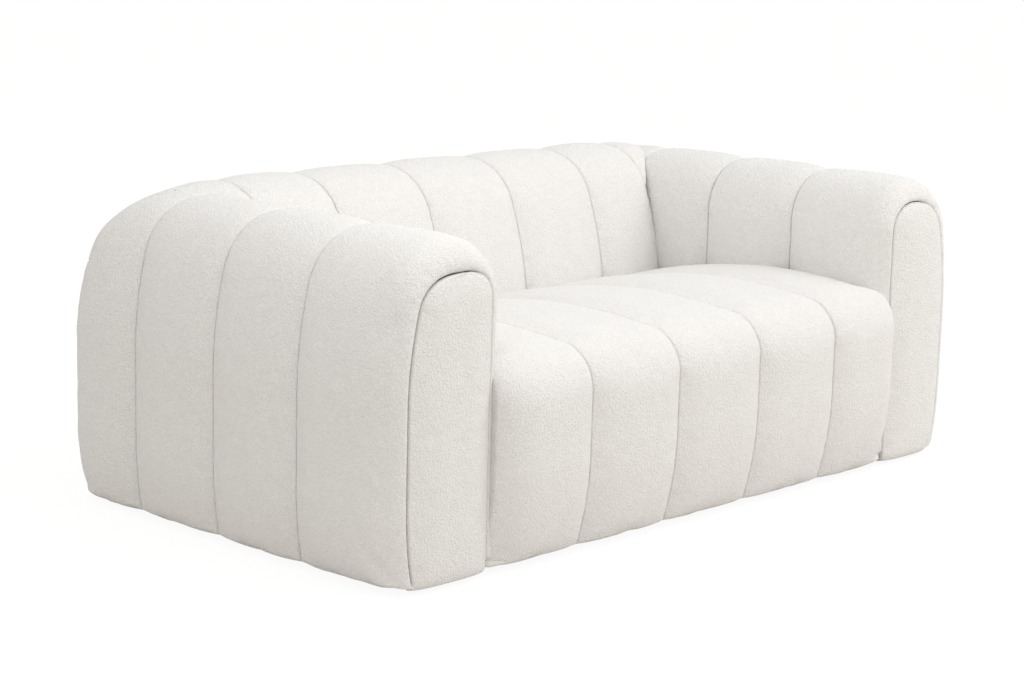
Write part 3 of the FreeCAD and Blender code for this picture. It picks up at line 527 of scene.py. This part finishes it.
def back_channel(name, number, material, sizes):
    """One back channel: the back's outline carried from seam to seam."""
    path, normals = back_moves(sizes.step)
    first, last = SEAMS[number - 1] + SEAM_GAP, SEAMS[number] - SEAM_GAP
    share = across_steps(last - first, sizes.step)[None, :]
    x = first + share * (last - first) + np.zeros((len(path), 1))
    base = back_base(path, x)
    outward = outward_rows(base, normals, -1)
    outer, normal = puffed(base, outward, x - first, last - x, 100 + number, sizes)
    return sewn_pad(name, outer, base, normal, sizes.pad, material)


def corner_channel(name, side, material, sizes):
    """The back's narrow end piece, from the last back seam to the mitre."""
    path, normals = back_moves(sizes.step)
    first = INNER_CLEAR + SEAM_GAP
    end = back_mitre(path[:, 0]) - SEAM_GAP
    keep = end - first > SHORTEST_ROW
    path, normals, end = path[keep], normals[keep], end[keep]
    share = across_steps(0.25, sizes.step)[None, :]
    x = first + share * (end - first)[:, None]
    base = back_base(path, side * x)
    far = (end[:, None] - x) * math.sqrt(0.5)
    outer, normal = puffed(base, outward_rows(base, normals, -1), x - first, far, 200 + side, sizes)
    return sewn_pad(name, outer, base, normal, sizes.pad, material)


def seat_channel(name, number, material, sizes):
    """One seat channel: up the front, round the nose and over the crown to the back.

    The end channels widen past the arms' inner seams in front of them, and draw back beside them.
    """
    path, normals = seat_moves(sizes.step, SEAT_END)
    first, last = SEAMS[number - 1] + SEAM_GAP, SEAMS[number] - SEAM_GAP
    y = NOSE_SEAM + path[:, 0]
    z = path[:, 1] + FOOT - sizes.seat_fall * eased(np.clip((y + 0.30) / 0.45, 0, 1))
    widen = sizes.front_widening * eased(np.clip((ARM_FRONT + 0.055 - y) / 0.05, 0, 1))
    low = np.full(len(path), first) - (widen if number == 1 else 0)
    high = np.full(len(path), last) + (widen if number == 5 else 0)
    share = across_steps(last - first, sizes.step)[None, :]
    x = low[:, None] + share * (high - low)[:, None]
    base = np.stack([x, y[:, None] + np.zeros_like(x), z[:, None] + np.zeros_like(x)], axis=2)
    outward = outward_rows(base, normals, 1)
    near, far = x - low[:, None], high[:, None] - x
    beside = {1: near, 5: far}.get(number)
    if beside is not None:
        facing = np.clip(-normals[:, 0], 0, 1)[:, None]
        drawn = sizes.front_setback * facing * (1 - rounding(beside, SEAT_END_REACH))
        base -= outward * drawn[:, :, None]
    outer = puffed(base, outward, near, far, 300 + number, sizes)[0]
    return sewn_pad(name, outer, base, outward, sizes.seat_pad, material)


def arm_front(name, side, material, sizes):
    """The padded arch in an arm's front: level rows from rim to rim, domed by a quarter ellipse.

    y = ARM_FRONT + panel_setback - panel_crown q(reach), with reach the distance to the rim.
    """
    path, normals = arm_moves(sizes.step, 0.0)
    upright = (path[:, 1] > 0.004) & ((normals[:, 0] < -0.5) | (np.arange(len(path)) > 20))
    path, normals = path[upright], level_normals(normals[upright])
    rim = path - normals * rim_inset(side, path, normals, sizes)[:, None]
    crest = int(np.argmax(rim[:, 1]))
    hub = rim[crest, 1] - ARCH_RISE
    straight = np.linspace(PANEL_FOOT, hub, round(hub / sizes.step) + 1)[:-1]
    arch = hub + ARCH_RISE * np.sin(np.linspace(0, math.pi / 2, ARCH_STEPS)[:-1])
    top = [rim[crest, 1] - 0.0001]
    level = np.concatenate([PANEL_FOOT_ROWS, straight[straight > 0.008], arch, top])
    outer_v = np.interp(level, rim[:crest + 1, 1], rim[:crest + 1, 0])
    inner_v = np.interp(level, rim[crest:, 1][::-1], rim[crest:, 0][::-1])
    share = across_steps(PANEL_WIDTH, sizes.step)[None, :]
    v = outer_v[:, None] + (inner_v - outer_v)[:, None] * share
    w = level[:, None] + np.zeros_like(v)
    edge = np.concatenate([np.column_stack([outer_v, level]), np.column_stack([inner_v, level])])
    reach = np.sqrt(((v[:, :, None] - edge[:, 0]) ** 2 + (w[:, :, None] - edge[:, 1]) ** 2).min(axis=2))
    reach = np.minimum(reach, np.minimum(v - outer_v[:, None], inner_v[:, None] - v))
    rise = sizes.panel_crown * rounding(reach, PANEL_REACH)
    rise += 0.0012 * waves(v, w, 400 + side, 0.22) * np.clip(reach / 0.05, 0, 1)
    rise -= 0.010 * (1 - rounding(w - PANEL_FOOT, 0.020))
    y = ARM_FRONT + sizes.panel_setback - rise
    front = np.stack([side * (SIDE_SEAM - v), y, w + FOOT], axis=2)
    rows, columns = front.shape[:2]
    index = np.arange(rows * columns).reshape(rows, columns)
    border = np.concatenate([index[:, 0], index[-1, 1:-1], index[::-1, -1], index[0, -2:0:-1]])
    rear = np.arange(len(border)) + rows * columns
    flat = front.reshape(-1, 3)
    points = np.concatenate([flat, flat[border] * [1, 0, 1] + [0, ARM_FRONT + PANEL_DEPTH, 0]])
    quads = np.stack([index[:-1, :-1], index[:-1, 1:], index[1:, 1:], index[1:, :-1]], axis=2).reshape(-1, 4)
    wall = np.stack([rear, border, np.roll(border, -1), np.roll(rear, -1)], axis=1)
    held = np.ones(len(points))
    held[index[3:-3, 2:-2]] = 0
    mesh = build_mesh(name, points, np.concatenate([quads, wall]), [rear], held)
    piece = bpy.data.objects.new(f"{name}_cover", mesh)
    bpy.context.scene.collection.objects.link(piece)
    return finish_piece(piece, [name], material)


def settle(pieces, frames, pressure, slack, most):
    """Lets the covers take their own shape in a short simulation, with each point's movement capped.

    A movement d becomes most tanh(d / most). The seams and the inner faces are held, air pressure fills
    the covers and gravity is off.
    """
    scene = bpy.context.scene
    rest = {}
    for piece in pieces:
        mesh = piece.data
        points = np.empty(len(mesh.vertices) * 3, np.float32)
        mesh.vertices.foreach_get("co", points)
        marks = np.empty(len(mesh.vertices), np.float32)
        mesh.attributes["held"].data.foreach_get("value", marks)
        rest[piece.name] = (points.reshape(-1, 3), marks)
        group = piece.vertex_groups.new(name="held")
        group.add([int(i) for i in np.nonzero(marks > 0.5)[0]], 1.0, "REPLACE")
        cloth = piece.modifiers.new("Cover", "CLOTH")
        settings = cloth.settings
        settings.quality = CLOTH_QUALITY
        settings.mass = CLOTH_MASS
        settings.vertex_group_mass = "held"
        settings.use_pressure = True
        settings.uniform_pressure_force = pressure
        settings.shrink_min = -slack
        settings.effector_weights.gravity = 0
        cloth.collision_settings.use_collision = False
        cloth.point_cache.frame_start = 1
        cloth.point_cache.frame_end = frames
    for number in range(1, frames + 1):
        scene.frame_set(number)
    graph = bpy.context.evaluated_depsgraph_get()
    for piece in pieces:
        points, marks = rest[piece.name]
        moved = np.empty(points.size, np.float32)
        shape = piece.evaluated_get(graph).to_mesh()
        if len(shape.vertices) != len(points):
            raise RuntimeError(f"{piece.name}: the simulated cover has another number of points")
        shape.vertices.foreach_get("co", moved)
        piece.evaluated_get(graph).to_mesh_clear()
        travel = moved.reshape(-1, 3) - points
        if not np.isfinite(travel).all():
            raise RuntimeError(f"{piece.name}: the simulation ran away")
        length = np.linalg.norm(travel, axis=1, keepdims=True)
        travel *= np.tanh(length / most) * most / np.maximum(length, 1e-9) * (marks < 0.5)[:, None]
        piece.data.vertices.foreach_set("co", (points + travel).ravel())
        piece.data.update()
        piece.modifiers.remove(piece.modifiers["Cover"])
        piece.vertex_groups.remove(piece.vertex_groups["held"])
    scene.frame_set(1)


# Finishes


def new_material(name):
    """A node material: (material, its tree, its shader, its object coordinates)."""
    material = bpy.data.materials.new(name)
    material.use_nodes = True
    tree = material.node_tree
    place = tree.nodes.new("ShaderNodeTexCoord").outputs["Object"]
    return material, tree, tree.nodes["Principled BSDF"], place


def add_node(tree, kind, inputs, **settings):
    """A new node with these settings. An input's value is a socket to link, or else its own value."""
    node = tree.nodes.new(kind)
    for key, value in settings.items():
        setattr(node, key, value)
    for key, value in inputs.items():
        if isinstance(value, bpy.types.NodeSocket):
            tree.links.new(value, node.inputs[key])
        else:
            node.inputs[key].default_value = value
    return node


def add_ramp(tree, factor, *stops):
    """A colour ramp between two stops, each (position, colour)."""
    ramp = add_node(tree, "ShaderNodeValToRGB", {"Fac": factor})
    for element, (position, colour) in zip(ramp.color_ramp.elements, stops):
        element.position = position
        element.color = (*colour, 1)
    return ramp.outputs["Color"]


def boucle_cover(finish):
    """Looped wool cover: small distorted cells for the loops, in colour and in relief. The colour darkens in
    the relief's low parts, as painted shade in the hollows between the loops.

    height = fine noise - 1.1 cell distance + 0.6 clump noise.
    """
    material, tree, shader, place = new_material("boucle_cover")
    drift = add_node(tree, "ShaderNodeTexNoise", {"Vector": place, "Scale": 90, "Detail": 2})
    shifted = add_node(
        tree, "ShaderNodeVectorMath", {0: drift.outputs["Color"], 1: (0.012, 0.012, 0.012), 2: place},
        operation="MULTIPLY_ADD")
    loops = add_node(tree, "ShaderNodeTexVoronoi", {"Vector": shifted.outputs[0]}, feature="SMOOTH_F1")
    loops.inputs["Scale"].default_value = finish.loop_scale
    loops.inputs["Smoothness"].default_value = 0.35
    fine = add_node(
        tree, "ShaderNodeTexNoise", {"Vector": place, "Scale": finish.loop_scale * 2.2, "Detail": 4})
    clump = add_node(tree, "ShaderNodeTexNoise", {"Vector": place, "Scale": 38, "Detail": 3})
    height = add_node(
        tree, "ShaderNodeMath", {0: loops.outputs["Distance"], 1: -1.1, 2: fine.outputs["Fac"]},
        operation="MULTIPLY_ADD")
    total = add_node(
        tree, "ShaderNodeMath", {0: clump.outputs["Fac"], 1: 0.6, 2: height.outputs[0]},
        operation="MULTIPLY_ADD").outputs[0]
    relief = add_node(tree, "ShaderNodeBump", {"Strength": finish.relief, "Distance": 0.003, "Height": total})
    tree.links.new(relief.outputs[0], shader.inputs["Normal"])
    # Painted shade: the cover's colour at 0.91, laid on the relief's low parts between the loops and clumps.
    hollow_shade_colour = [c * 0.91 for c in finish.cover[:3]]
    tone = add_ramp(tree, total, (0.05, hollow_shade_colour), (0.75, finish.cover[:3]))
    tree.links.new(tone, shader.inputs["Base Color"])
    shader.inputs["Roughness"].default_value = 0.95
    shader.inputs["Specular IOR Level"].default_value = 0.15
    shader.inputs["Sheen Weight"].default_value = 0.25
    shader.inputs["Sheen Roughness"].default_value = 0.6
    return material


def grained(name, colour, darker, scale, stretch, roughness, relief):
    """Plain hidden finishes: a noise stretched one way, in colour and faint relief."""
    material, tree, shader, place = new_material(name)
    turn = add_node(tree, "ShaderNodeMapping", {"Vector": place, "Scale": stretch})
    grain = add_node(
        tree, "ShaderNodeTexNoise", {"Vector": turn.outputs["Vector"], "Scale": scale, "Detail": 6})
    tone = add_ramp(tree, grain.outputs["Fac"], (0.3, darker), (0.7, colour))
    tree.links.new(tone, shader.inputs["Base Color"])
    bump = add_node(
        tree, "ShaderNodeBump", {"Strength": relief, "Distance": 0.001, "Height": grain.outputs["Fac"]})
    tree.links.new(bump.outputs[0], shader.inputs["Normal"])
    shader.inputs["Roughness"].default_value = roughness
    return material


# Settings and operators


class SofaSizes(bpy.types.PropertyGroup):
    step: FloatProperty(
        name="Step", description="Distance between the rows of a channel", default=0.012, unit="LENGTH")
    crown: FloatProperty(
        name="Crown", description="Fullness of a channel over its seams", default=0.014, unit="LENGTH")
    sink: FloatProperty(
        name="Seam sink", description="Depth of the seams under the drawn outline",
        default=0.006, unit="LENGTH")
    sink_top: FloatProperty(
        name="Top sink", description="Further depth on level tops", default=0.004, unit="LENGTH")
    front_taper: FloatProperty(
        name="Front taper", description="How far an arm narrows toward its front roll",
        default=0.013, unit="LENGTH")
    left_foot_round: FloatProperty(
        name="Left foot rounding", description="Rounding of the left arm front's bottom corner",
        default=0.003, unit="LENGTH")
    right_foot_round: FloatProperty(
        name="Right foot rounding", description="Rounding of the right arm front's bottom corner",
        default=0.034, unit="LENGTH")
    seat_fall: FloatProperty(
        name="Seat fall", description="How much lower the seat's padding lies at the rear",
        default=0.009, unit="LENGTH")
    left_rim_drop: FloatProperty(
        name="Left rim drop", description="How much lower the left arch lies", default=0.012, unit="LENGTH")
    seat_pad: FloatProperty(
        name="Seat pad", description="Depth of the seat's padding shown", default=0.045, unit="LENGTH")
    arch_gather: FloatProperty(
        name="Arch gathers", description="Height of the gathers beside an arm's front arch",
        default=0.0035, unit="LENGTH")
    flat_top: FloatProperty(
        name="Flatter tops", description="Share of the fullness taken off level tops", default=0.35)
    flat_base: FloatProperty(
        name="Flatter undersides", description="Share of the fullness taken off undersides", default=0.75)
    rim_outer: FloatProperty(
        name="Outer rim", description="Rim of an arm front in from the outer face",
        default=0.043, unit="LENGTH")
    rim_top: FloatProperty(
        name="Top rim", description="Rim of an arm front down from the top", default=0.056, unit="LENGTH")
    rim_inner: FloatProperty(
        name="Inner rim", description="Rim of an arm front in from the inner face",
        default=0.034, unit="LENGTH")
    panel_setback: FloatProperty(
        name="Front setback", description="Rim of the arm front behind the roll",
        default=0.002, unit="LENGTH")
    front_setback: FloatProperty(
        name="Seat end setback", description="How far the seat's front draws in beside an arm",
        default=0.032, unit="LENGTH")
    shoulder: FloatProperty(
        name="Shoulder", description="Distance over which a channel rises", default=0.085, unit="LENGTH")
    dome: FloatProperty(name="Dome", description="Extra fullness in the middle", default=0.004, unit="LENGTH")
    groove: FloatProperty(name="Groove", description="Depth of a seam", default=0.002, unit="LENGTH")
    unevenness: FloatProperty(
        name="Unevenness", description="Soft unevenness of the padding", default=0.0015, unit="LENGTH")
    gather: FloatProperty(
        name="Gather", description="Small gathers beside a seam", default=0.0007, unit="LENGTH")
    pad: FloatProperty(name="Pad", description="Thickness of the padding shown", default=0.030, unit="LENGTH")
    roll: FloatProperty(
        name="Roll", description="Depth of the roll at an arm's front", default=0.050, unit="LENGTH")
    panel_crown: FloatProperty(
        name="Front crown", description="Fullness of the arm front", default=0.014, unit="LENGTH")
    settle_frames: IntProperty(name="Settling frames", description="Frames of the simulation", default=20)
    pressure: FloatProperty(name="Pressure", description="Air pressure in the covers", default=4.0)
    slack: FloatProperty(name="Slack", description="Share of spare cloth in a cover", default=0.003)
    settle_most: FloatProperty(
        name="Most movement", description="Cap on a point's movement", default=0.006, unit="LENGTH")
    front_widening: FloatProperty(
        name="Front widening", description="How far the seat's front reaches past the arm's inner seam",
        default=0.044, unit="LENGTH")


class SofaFinish(bpy.types.PropertyGroup):
    cover: FloatVectorProperty(
        name="Cover", description="Colour of the cover", subtype="COLOR", size=3,
        default=(0.93, 0.914, 0.892))
    loop_scale: FloatProperty(name="Loops", description="Loops of the cover in a metre", default=250.0)
    relief: FloatProperty(name="Relief", description="Strength of the cover's relief", default=0.65)


def cover_material():
    """The cover's material, made once."""
    found = bpy.data.materials.get("boucle_cover")
    return found or boucle_cover(bpy.context.scene.sofa_finish)


class SOFA_OT_arm_channels(bpy.types.Operator):
    """Builds the four channels of each arm"""
    bl_idname = "sofa.arm_channels"
    bl_label = "Arm channels"

    def execute(self, context):
        for name, side in SIDES:
            for number in range(1, 5):
                piece_name = f"{name}_arm_channel_{number}"
                arm_channel(piece_name, side, number, cover_material(), context.scene.sofa_sizes)
        return {"FINISHED"}


class SOFA_OT_arm_fronts(bpy.types.Operator):
    """Builds the padded arch in each arm's front"""
    bl_idname = "sofa.arm_fronts"
    bl_label = "Arm fronts"

    def execute(self, context):
        for name, side in SIDES:
            arm_front(f"{name}_arm_front_panel", side, cover_material(), context.scene.sofa_sizes)
        return {"FINISHED"}


class SOFA_OT_back_channels(bpy.types.Operator):
    """Builds the five back channels and the two corner channels"""
    bl_idname = "sofa.back_channels"
    bl_label = "Back channels"

    def execute(self, context):
        for number in range(1, 6):
            back_channel(f"back_channel_{number}", number, cover_material(), context.scene.sofa_sizes)
        for name, side in SIDES:
            corner_channel(f"back_corner_channel_{name}", side, cover_material(), context.scene.sofa_sizes)
        return {"FINISHED"}


class SOFA_OT_seat_channels(bpy.types.Operator):
    """Builds the five seat channels"""
    bl_idname = "sofa.seat_channels"
    bl_label = "Seat channels"

    def execute(self, context):
        for number in range(1, 6):
            seat_channel(f"seat_channel_{number}", number, cover_material(), context.scene.sofa_sizes)
        return {"FINISHED"}


class SOFA_OT_settle_covers(bpy.types.Operator):
    """Settles the covers of all pads in a short simulation, then smooths them"""
    bl_idname = "sofa.settle_covers"
    bl_label = "Settle covers"

    def execute(self, context):
        sizes = context.scene.sofa_sizes
        meshes = [item for item in context.scene.objects if item.type == "MESH"]
        pieces = [item for item in meshes if "held" in item.data.attributes]
        settle(pieces, sizes.settle_frames, sizes.pressure, sizes.slack, sizes.settle_most)
        for piece in pieces:
            smooth = piece.modifiers.new("Smooth", "SUBSURF")
            smooth.levels = smooth.render_levels = 1
        return {"FINISHED"}


class SOFA_OT_inner_parts(bpy.types.Operator):
    """Gives the frame, foam, webbing, dust cover, feet and fasteners their finishes"""
    bl_idname = "sofa.inner_parts"
    bl_label = "Inner parts"

    def execute(self, context):
        finishes = {slot: grained(*values) for slot, values in INNER_FINISHES.items()}
        steel = finishes["zinc_steel"].node_tree.nodes["Principled BSDF"]
        steel.inputs["Metallic"].default_value = 1.0
        slots = {part["node"]: part["material_slot"] for part in frame["record"]["subparts"]}
        for name, node in frame["nodes"].items():
            if slots[name] == "boucle":
                continue
            node.data.materials.clear()
            node.data.materials.append(finishes[slots[name]])
        return {"FINISHED"}


def background_rays(tree):
    """1 for the rays that show the white background: camera, glossy and transmission rays."""
    ray = tree.nodes.new("ShaderNodeLightPath")
    value = ray.outputs["Is Camera Ray"]
    for kind in ("Is Glossy Ray", "Is Transmission Ray"):
        either = add_node(tree, "ShaderNodeMath", {0: value, 1: ray.outputs[kind]}, operation="MAXIMUM")
        value = either.outputs[0]
    return value


def add_floor(scene):
    """A floor that takes the sofa's shadow, and glows white for the background rays by its glow share."""
    corners = FLOOR_HALF * np.array([[-1, -1, 0], [1, -1, 0], [1, 1, 0], [-1, 1, 0]], float)
    floor = bpy.data.objects.new("floor", build_mesh("floor", corners, np.array([[0, 1, 2, 3]]), []))
    scene.collection.objects.link(floor)
    material = bpy.data.materials.new("studio_floor")
    material.use_nodes = True
    tree = material.node_tree
    tree.nodes.clear()
    seen = add_node(
        tree, "ShaderNodeMath", {0: background_rays(tree), 1: FLOOR_GLOW_SHARE}, operation="MULTIPLY")
    plain = add_node(tree, "ShaderNodeBsdfDiffuse", {"Color": FLOOR_COLOUR})
    glow = add_node(tree, "ShaderNodeEmission", {"Strength": FLOOR_GLOW})
    mix = add_node(tree, "ShaderNodeMixShader", {0: seen.outputs[0], 1: plain.outputs[0], 2: glow.outputs[0]})
    add_node(tree, "ShaderNodeOutputMaterial", {"Surface": mix.outputs[0]})
    floor.data.materials.append(material)


def add_world(scene):
    """Soft light from all round, shown as white to the background rays."""
    world = bpy.data.worlds.new("studio")
    scene.world = world
    world.use_nodes = True
    tree = world.node_tree
    tree.nodes.clear()
    soft = add_node(tree, "ShaderNodeBackground", {"Color": WORLD_COLOUR, "Strength": WORLD_LIGHT})
    white = add_node(tree, "ShaderNodeBackground", {"Strength": WORLD_WHITE})
    mix = add_node(
        tree, "ShaderNodeMixShader", {0: background_rays(tree), 1: soft.outputs[0], 2: white.outputs[0]})
    add_node(tree, "ShaderNodeOutputWorld", {"Surface": mix.outputs[0]})


def add_lamps(scene):
    """Round area lamps, each turned to the sofa."""
    for name, place, size, power in LAMPS:
        data = bpy.data.lights.new(name, "AREA")
        data.shape = "DISK"
        data.size = size
        data.energy = power
        lamp = bpy.data.objects.new(name, data)
        lamp.location = place
        lamp.rotation_mode = "QUATERNION"
        lamp.rotation_quaternion = (Vector(LAMP_AIM) - Vector(place)).to_track_quat("-Z", "Y")
        scene.collection.objects.link(lamp)


def add_camera(scene):
    """The photograph's camera: target + distance (sin a cos e, -cos a cos e, sin e), rolled."""
    azimuth, elevation, roll = map(math.radians, CAMERA_ANGLES)
    level = math.cos(elevation)
    back = Vector((math.sin(azimuth) * level, -math.cos(azimuth) * level, math.sin(elevation)))
    data = bpy.data.cameras.new("camera")
    data.sensor_width = CAMERA_SENSOR
    data.lens = CAMERA_LENS
    camera = bpy.data.objects.new("camera", data)
    camera.location = Vector(CAMERA_TARGET) + back * CAMERA_DISTANCE
    camera.rotation_mode = "QUATERNION"
    camera.rotation_quaternion = (-back).to_track_quat("-Z", "Y") @ Quaternion((0, 0, 1), roll)
    scene.collection.objects.link(camera)
    scene.camera = camera


class SOFA_OT_stage(bpy.types.Operator):
    """Sets the floor, the lamps, the world and the camera"""
    bl_idname = "sofa.stage"
    bl_label = "Studio"

    def execute(self, context):
        scene = context.scene
        scene.view_settings.view_transform = "Standard"
        add_floor(scene)
        add_world(scene)
        add_lamps(scene)
        add_camera(scene)
        return {"FINISHED"}


class SOFA_PT_panel(bpy.types.Panel):
    """Lists the sofa's operators and settings"""
    bl_label = "Channel Sofa"
    bl_idname = "SOFA_PT_panel"
    bl_space_type = "VIEW_3D"
    bl_region_type = "UI"
    bl_category = "Sofa"

    def draw(self, context):
        for operator in OPERATORS:
            self.layout.operator(operator.bl_idname)
        for group in (context.scene.sofa_sizes, context.scene.sofa_finish):
            for key in group.bl_rna.properties.keys():
                if key not in ("rna_type", "name"):
                    self.layout.prop(group, key)


OPERATORS = (
    SOFA_OT_arm_channels,
    SOFA_OT_arm_fronts,
    SOFA_OT_back_channels,
    SOFA_OT_seat_channels,
    SOFA_OT_settle_covers,
    SOFA_OT_inner_parts,
    SOFA_OT_stage,
)
CLASSES = (SofaSizes, SofaFinish, *OPERATORS, SOFA_PT_panel)


def register():
    """Registers the classes and the settings."""
    for item in CLASSES:
        bpy.utils.register_class(item)
    bpy.types.Scene.sofa_sizes = PointerProperty(type=SofaSizes)
    bpy.types.Scene.sofa_finish = PointerProperty(type=SofaFinish)


def unregister():
    """Removes the settings and the classes."""
    del bpy.types.Scene.sofa_finish
    del bpy.types.Scene.sofa_sizes
    for item in reversed(CLASSES):
        bpy.utils.unregister_class(item)


def main():
    """Builds the whole scene."""
    register()
    for operator in OPERATORS:
        family, name = operator.bl_idname.split(".")
        getattr(getattr(bpy.ops, family), name)()
    bpy.context.view_layer.update()


if __name__ == "__main__":
    main()
